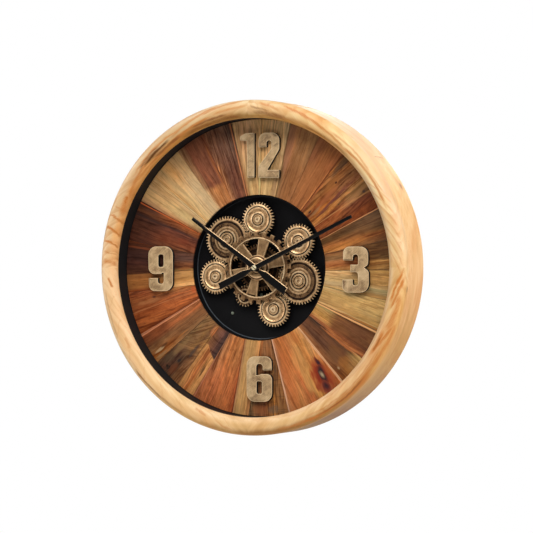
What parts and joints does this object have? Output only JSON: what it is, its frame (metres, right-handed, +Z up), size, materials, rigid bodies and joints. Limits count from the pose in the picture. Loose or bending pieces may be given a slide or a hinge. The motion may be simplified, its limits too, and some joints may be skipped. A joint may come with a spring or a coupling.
{
  "type": "wall clock",
  "caption": "Round wall clock: turned wooden rim, radial plank dial, raised numerals, open gear train in a black recess, two hands.",
  "frame": {"origin": "centre of the clock's box: on the dial's axis, halfway between the rim's bead and its flat back", "axes": "+Z up; +Y from the dial to the wall, so the dial faces -Y; +X to the right of a person who reads the dial"},
  "size_m": [0.54, 0.085, 0.54],
  "materials": {
    "pine": "clear satin lacquer on pale softwood",
    "black_steel": "matt black paint",
    "board": "raw fibreboard",
    "wood_pale": "oiled reclaimed wood",
    "wood_tan": "oiled reclaimed wood",
    "wood_orange": "oiled reclaimed wood",
    "wood_rust": "oiled reclaimed wood",
    "wood_brown": "oiled reclaimed wood",
    "wood_maroon": "oiled reclaimed wood",
    "pewter": "brushed, worn antique gold leaf with black sides",
    "bronze": "antique bronze paint, rubbed bright on the edges",
    "hand_black": "black face, gold bevelled edges",
    "brass": "polished brass",
    "steel": "zinc plated",
    "black_plastic": "moulded",
    "cell_sleeve": "plain printed sleeve, no text"
  },
  "bodies": {
    "case": {"rim": "pine", "liner": "black_steel", "back_board": "board", "gear_tray": "black_steel", "plank_01": "wood_pale", "plank_02": "wood_rust", "plank_03": "wood_rust", "plank_04": "wood_tan", "plank_05": "wood_orange", "plank_06": "wood_tan", "plank_07": "wood_pale", "plank_08": "wood_pale", "plank_09": "wood_brown", "plank_10": "wood_brown", "plank_11": "wood_orange", "plank_12": "wood_brown", "plank_13": "wood_pale", "plank_14": "wood_orange", "plank_15": "wood_tan", "plank_16": "wood_brown", "plank_17": "wood_brown", "plank_18": "wood_orange", "plank_19": "wood_tan", "plank_20": "wood_maroon", "plank_21": "wood_maroon", "plank_22": "wood_pale", "plank_23": "wood_pale", "plank_24": "wood_rust", "plank_25": "wood_maroon", "plank_26": "wood_pale", "numeral_12_one": "pewter", "numeral_12_two": "pewter", "numeral_3": "pewter", "numeral_6": "pewter", "numeral_9": "pewter", "hanger_plate": "steel", "movement_case": "black_plastic", "movement_bush": "brass", "movement_cell": "cell_sleeve", "wheel_clip": "steel", "gear_motor_case": "black_plastic", "motor_cell_lower": "cell_sleeve", "motor_cell_upper": "cell_sleeve", "tray_screw_left": "steel", "tray_screw_low": "steel"},
    "centre_wheel": {"centre_wheel": "bronze", "centre_gear": "bronze"},
    "gear_large_left": {"gear_large_left": "bronze"},
    "gear_large_right": {"gear_large_right": "bronze"},
    "gear_small_top": {"gear_small_top": "bronze"},
    "gear_small_left": {"gear_small_left": "bronze"},
    "gear_small_right": {"gear_small_right": "bronze"},
    "gear_small_bottom": {"gear_small_bottom": "bronze"},
    "drive_pinion": {"drive_pinion": "bronze"},
    "hour_hand": {"hour_hand": "hand_black"},
    "minute_hand": {"minute_hand": "hand_black", "hand_nut": "brass", "minute_arbor": "brass", "setting_knob": "black_plastic"},
    "power_switch": {"power_switch": "black_plastic"}
  },
  "joints": [
    {"name": "centre_wheel_spin", "type": "hinge", "parent": "case", "child": "centre_wheel", "pos_m": [0, 0.0065, 0], "axis": [0, 1, 0], "continuous": true},
    {"name": "gear_large_left_spin", "type": "hinge", "parent": "case", "child": "gear_large_left", "pos_m": [-0.0576, 0.0065, 0.04582], "axis": [0, 1, 0], "continuous": true},
    {"name": "gear_large_right_spin", "type": "hinge", "parent": "case", "child": "gear_large_right", "pos_m": [0.07035, 0.0065, -0.02164], "axis": [0, 1, 0], "continuous": true},
    {"name": "gear_small_top_spin", "type": "hinge", "parent": "case", "child": "gear_small_top", "pos_m": [-0.00229, 0.0065, 0.07801], "axis": [0, 1, 0], "continuous": true},
    {"name": "gear_small_left_spin", "type": "hinge", "parent": "case", "child": "gear_small_left", "pos_m": [-0.07833, 0.0065, -0.01473], "axis": [0, 1, 0], "continuous": true},
    {"name": "gear_small_right_spin", "type": "hinge", "parent": "case", "child": "gear_small_right", "pos_m": [0.06889, 0.0065, 0.04234], "axis": [0, 1, 0], "continuous": true},
    {"name": "gear_small_bottom_spin", "type": "hinge", "parent": "case", "child": "gear_small_bottom", "pos_m": [0.02573, 0.0065, -0.06752], "axis": [0, 1, 0], "continuous": true},
    {"name": "drive_pinion_spin", "type": "hinge", "parent": "case", "child": "drive_pinion", "pos_m": [-0.0256, 0.0065, -0.04618], "axis": [0, 1, 0], "continuous": true},
    {"name": "minute_hand_turn", "type": "hinge", "parent": "case", "child": "minute_hand", "pos_m": [0, -0.015, 0], "axis": [0, 1, 0], "continuous": true},
    {"name": "hour_hand_turn", "type": "hinge", "parent": "case", "child": "hour_hand", "pos_m": [0, -0.0116, 0], "axis": [0, 1, 0], "continuous": true},
    {"name": "power_switch_slide", "type": "slide", "parent": "case", "child": "power_switch", "axis": [1, 0, 0], "range_m": [0, 0.004]}
  ],
  "couplings": [
    {"joint": "gear_large_left_spin", "follows": "centre_wheel_spin", "ratio": -1},
    {"joint": "gear_large_right_spin", "follows": "centre_wheel_spin", "ratio": -1},
    {"joint": "gear_small_top_spin", "follows": "centre_wheel_spin", "ratio": 1.3529},
    {"joint": "gear_small_left_spin", "follows": "centre_wheel_spin", "ratio": 1.3529},
    {"joint": "gear_small_right_spin", "follows": "centre_wheel_spin", "ratio": 1.3529},
    {"joint": "gear_small_bottom_spin", "follows": "centre_wheel_spin", "ratio": 1.3529},
    {"joint": "drive_pinion_spin", "follows": "centre_wheel_spin", "ratio": -2.3},
    {"joint": "hour_hand_turn", "follows": "minute_hand_turn", "ratio": 0.083333}
  ]
}
